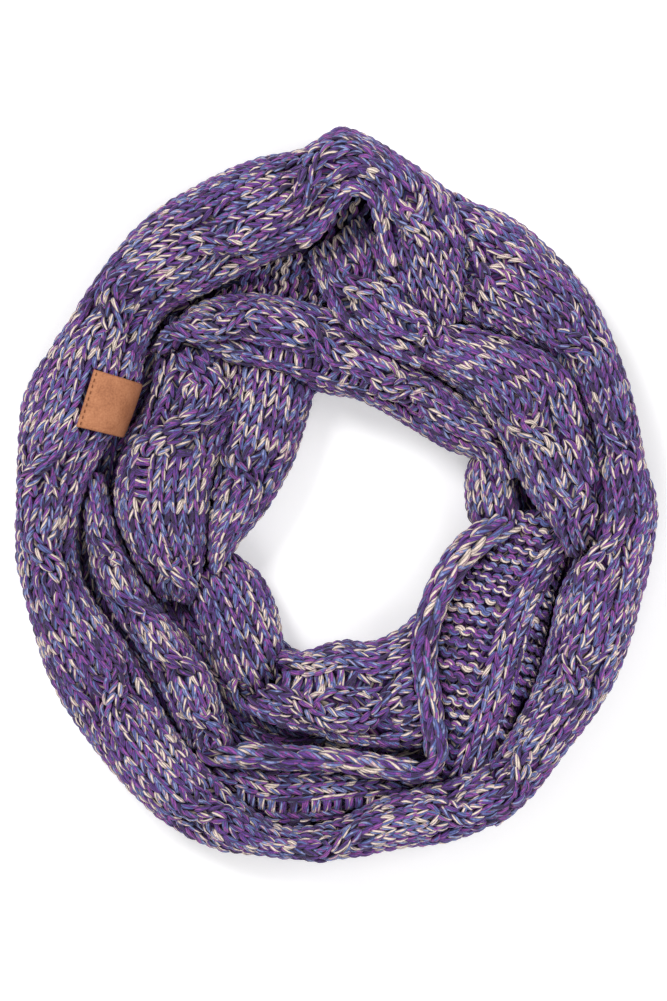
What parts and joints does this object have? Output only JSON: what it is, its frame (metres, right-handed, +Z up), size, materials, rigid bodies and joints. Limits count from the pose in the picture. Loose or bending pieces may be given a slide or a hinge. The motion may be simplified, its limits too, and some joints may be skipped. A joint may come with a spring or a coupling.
{
  "type": "infinity scarf",
  "caption": "Chunky cable-knit infinity scarf of marled yarn, wound in a double loop and laid flat as a ring, with a small label folded over one edge.",
  "frame": {"origin": "on the surface the scarf lies on, under the middle of its outline", "axes": "+Z up from the surface, +Y away from the viewer, towards the fold at the far side, +X to the viewer's right"},
  "size_m": [0.3625, 0.4133, 0.0711],
  "materials": {
    "marled_knit": "chunky knit of marled acrylic and wool yarn, matt with a soft sheen",
    "label_patch": "tan imitation leather, matt, sewn along its edge"
  },
  "bodies": {
    "root": {"outer_left": "marled_knit", "outer_right": "marled_knit", "diagonal": "marled_knit", "inner_top": "marled_knit", "left_roll": "marled_knit", "edge_chain_bottom": "marled_knit", "edge_chain_side": "marled_knit", "inner_left_wide": "marled_knit", "inner_left_side": "marled_knit", "inner_corner": "marled_knit", "inner_bottom": "marled_knit", "inner_right_end": "marled_knit", "right_inner": "marled_knit", "valley": "marled_knit", "under_top": "marled_knit", "hidden_layers": "marled_knit", "label": "label_patch"}
  },
  "joints": []
}
